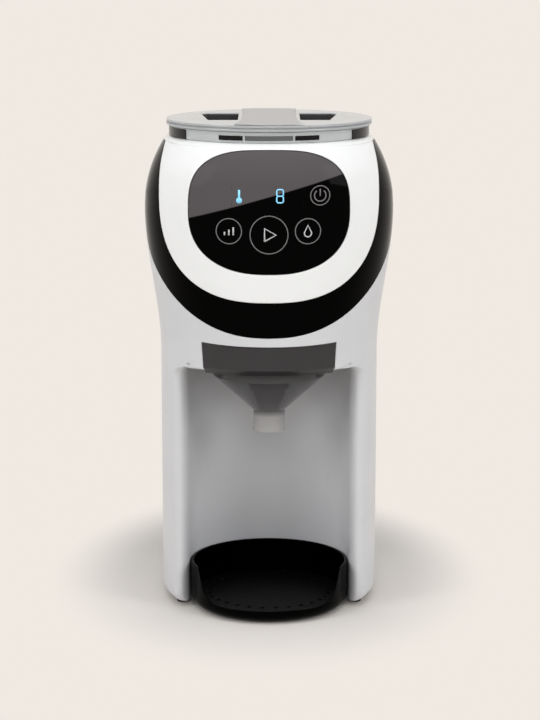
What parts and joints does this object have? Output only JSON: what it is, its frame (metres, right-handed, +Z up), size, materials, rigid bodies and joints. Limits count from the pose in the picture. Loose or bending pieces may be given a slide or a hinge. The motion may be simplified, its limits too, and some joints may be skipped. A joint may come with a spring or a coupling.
{
  "type": "baby formula maker",
  "caption": "Countertop baby formula maker: powder hopper with twist lid, touch panel, sliding mixing funnel over a bottle bay with drip tray, and a lift-off water tank behind.",
  "frame": {"origin": "on the table, at the middle of the bounding box's footprint", "axes": "+Z up, -Y towards the bottle bay and touch panel at the front, +X to the right seen from the front"},
  "size_m": [0.1542, 0.234, 0.3026],
  "materials": {
    "white_shell": "moulded, satin gloss",
    "black_gloss": "moulded, high gloss",
    "black_satin": "moulded, satin",
    "panel_glass": "back-printed black glass, polished",
    "smoke_clear": "smoke-tinted clear plastic",
    "clear": "clear plastic, polished",
    "silver": "silver-grey moulded plastic",
    "grey_plastic": "moulded, fine texture",
    "white_acetal": "moulded, low friction",
    "rubber": "black rubber",
    "silicone": "translucent silicone",
    "steel": "zinc-plated steel",
    "bronze": "sintered bronze",
    "cast_aluminium": "die-cast",
    "pump_plastic": "moulded",
    "circuit_board": "solder-masked laminate"
  },
  "bodies": {
    "casing": {"base_pan": "grey_plastic", "bezel": "white_shell", "case_screws": "steel", "chassis_plate": "grey_plastic", "control_board": "circuit_board", "cord_gland": "grey_plastic", "display_module": "pump_plastic", "drive_screws": "steel", "feet": "rubber", "front_shell": "white_shell", "funnel_housing": "grey_plastic", "funnel_sensor": "pump_plastic", "gear_motor": "steel", "head_ring": "black_gloss", "heater": "cast_aluminium", "heater_stand": "steel", "hopper_well": "grey_plastic", "hose_clips": "steel", "inlet_hose": "silicone", "outlet_hose": "silicone", "powder_chute": "grey_plastic", "power_board": "circuit_board", "pressure_hose": "silicone", "pump": "pump_plastic", "pump_mounts": "rubber", "rear_shell": "white_shell", "shaft_bush": "bronze", "shelf_cover": "grey_plastic", "tank_seat": "grey_plastic", "tank_sensor": "pump_plastic", "tank_shelf": "white_shell", "thermal_fuse": "pump_plastic", "top_deck": "white_shell", "touch_pads": "pump_plastic", "touch_panel": "panel_glass", "water_spout": "grey_plastic"},
    "hopper": {"powder_hopper": "clear", "hopper_base": "grey_plastic", "powder_scraper": "grey_plastic"},
    "seal": {"lid_seal": "silicone"},
    "lid": {"hopper_lid": "clear", "lid_grip": "silver"},
    "drive": {"drive_gear": "white_acetal", "drive_shaft": "steel"},
    "dosing": {"dosing_wheel": "white_acetal", "stirring_wheel": "white_acetal", "stirrer_nut": "grey_plastic"},
    "pinion": {"motor_pinion": "steel"},
    "funnel": {"mixing_funnel": "smoke_clear", "funnel_cover": "smoke_clear"},
    "tray": {"drip_tray": "black_gloss"},
    "grate": {"drip_grate": "black_satin"},
    "tank": {"water_tank": "clear", "tank_hinge_pin": "steel", "tank_valve": "grey_plastic", "tank_valve_seal": "rubber", "tank_valve_spring": "steel"},
    "tank_cover": {"tank_lid": "clear"},
    "poppet": {"tank_valve_poppet": "grey_plastic"},
    "float": {"tank_float": "black_satin"}
  },
  "joints": [
    {"name": "hopper_lift", "type": "slide", "parent": "casing", "child": "hopper", "axis": [0, 0, 1], "range_m": [0, 0.08]},
    {"name": "seal_lift", "type": "slide", "parent": "hopper", "child": "seal", "axis": [0, 0, 1], "range_m": [0, 0.06]},
    {"name": "lid_turn", "type": "hinge", "parent": "seal", "child": "lid", "pos_m": [0, -0.039, 0.298], "axis": [0, 0, 1], "range_deg": [0, 60]},
    {"name": "drive_spin", "type": "hinge", "parent": "casing", "child": "drive", "pos_m": [0, -0.039, 0.2155], "axis": [0, 0, 1], "continuous": true},
    {"name": "dosing_spin", "type": "hinge", "parent": "hopper", "child": "dosing", "pos_m": [0, -0.039, 0.234], "axis": [0, 0, 1], "continuous": true},
    {"name": "pinion_spin", "type": "hinge", "parent": "casing", "child": "pinion", "pos_m": [0, -0.015, 0.2155], "axis": [0, 0, 1], "continuous": true},
    {"name": "funnel_slide", "type": "slide", "parent": "casing", "child": "funnel", "axis": [0, -1, 0], "range_m": [0, 0.12]},
    {"name": "tray_slide", "type": "slide", "parent": "casing", "child": "tray", "axis": [0, -1, 0], "range_m": [0, 0.11]},
    {"name": "grate_lift", "type": "slide", "parent": "tray", "child": "grate", "axis": [0, 0, 1], "range_m": [0, 0.04]},
    {"name": "tank_lift", "type": "slide", "parent": "casing", "child": "tank", "axis": [0, 0, 1], "range_m": [0, 0.1]},
    {"name": "tank_lid_hinge", "type": "hinge", "parent": "tank", "child": "tank_cover", "pos_m": [0, 0.07, 0.2759], "axis": [1, 0, 0], "range_deg": [0, 90]},
    {"name": "valve_lift", "type": "slide", "parent": "tank", "child": "poppet", "axis": [0, 0, 1], "range_m": [0, 0.003], "stiffness_N_per_m": 300, "springref_m": -0.002, "deforming": ["tank_valve_spring"]},
    {"name": "float_rise", "type": "slide", "parent": "tank", "child": "float", "axis": [0, 0, 1], "range_m": [0, 0.15]}
  ],
  "couplings": [
    {"joint": "pinion_spin", "follows": "drive_spin", "ratio": -2},
    {"joint": "dosing_spin", "follows": "drive_spin", "ratio": 1}
  ]
}
